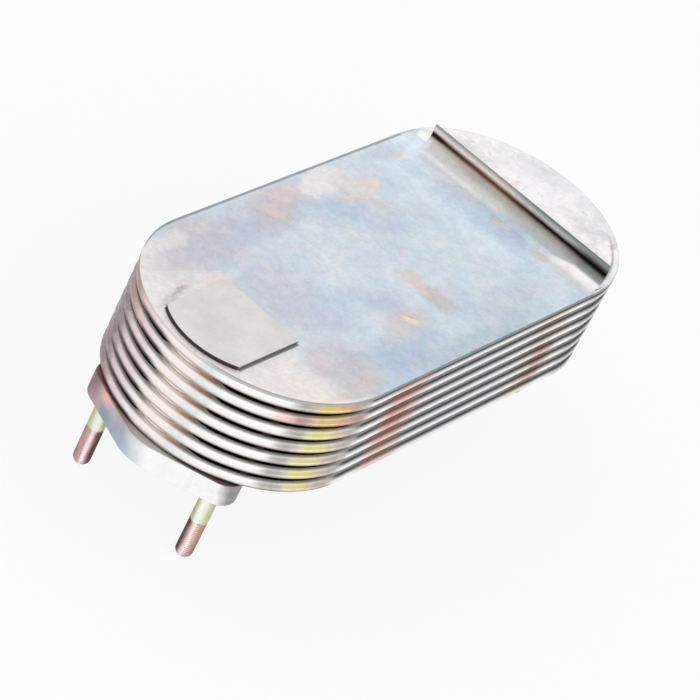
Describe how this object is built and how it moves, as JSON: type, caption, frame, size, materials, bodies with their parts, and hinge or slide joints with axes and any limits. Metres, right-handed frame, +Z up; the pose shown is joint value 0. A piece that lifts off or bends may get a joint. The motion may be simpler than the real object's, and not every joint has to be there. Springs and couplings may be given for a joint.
{
  "type": "plate oil cooler core",
  "caption": "Round-ended stack of thin oil plates with water gaps, an upturned deflector lip on the cover, and flanged oil ports with studs underneath.",
  "frame": {"origin": "middle of the footprint, level with the stud tips", "axes": "+X along the core from the locating pad towards the deflector lip, +Y across it, +Z up from the studs to the cover"},
  "size_m": [0.3642, 0.15, 0.136],
  "materials": {
    "cover_plating": "iridescent zinc plating, pale blue with peach and cream clouds",
    "end_plating": "mottled pale zinc plating",
    "pad_plating": "even warm grey plating",
    "shell_plating": "bright zinc plating with peach and yellow tints",
    "base_plating": "plain plated sheet",
    "fin_steel": "bare folded sheet",
    "ring_steel": "plain turned steel",
    "flange_plating": "lilac grey zinc plating",
    "stud_plating": "yellow and pink chromate"
  },
  "bodies": {
    "root": {"cover_plate": "cover_plating", "end_plate": "end_plating", "locating_pad": "pad_plating", "element_1_shell": "shell_plating", "element_1_base": "base_plating", "element_1_turbulator": "fin_steel", "element_2_shell": "shell_plating", "element_2_base": "base_plating", "element_2_turbulator": "fin_steel", "element_3_shell": "shell_plating", "element_3_base": "base_plating", "element_3_turbulator": "fin_steel", "element_4_shell": "shell_plating", "element_4_base": "base_plating", "element_4_turbulator": "fin_steel", "element_5_shell": "shell_plating", "element_5_base": "base_plating", "element_5_turbulator": "fin_steel", "element_6_shell": "shell_plating", "element_6_base": "base_plating", "element_6_turbulator": "fin_steel", "element_7_shell": "shell_plating", "element_7_base": "base_plating", "element_7_turbulator": "fin_steel", "near_port_ring_1": "ring_steel", "near_port_ring_2": "ring_steel", "near_port_ring_3": "ring_steel", "near_port_ring_4": "ring_steel", "near_port_ring_5": "ring_steel", "near_port_ring_6": "ring_steel", "far_port_ring_1": "ring_steel", "far_port_ring_2": "ring_steel", "far_port_ring_3": "ring_steel", "far_port_ring_4": "ring_steel", "far_port_ring_5": "ring_steel", "far_port_ring_6": "ring_steel", "near_flange": "flange_plating", "near_stud_left": "stud_plating", "near_stud_right": "stud_plating", "far_flange": "flange_plating", "far_stud_left": "stud_plating", "far_stud_right": "stud_plating"}
  },
  "joints": []
}
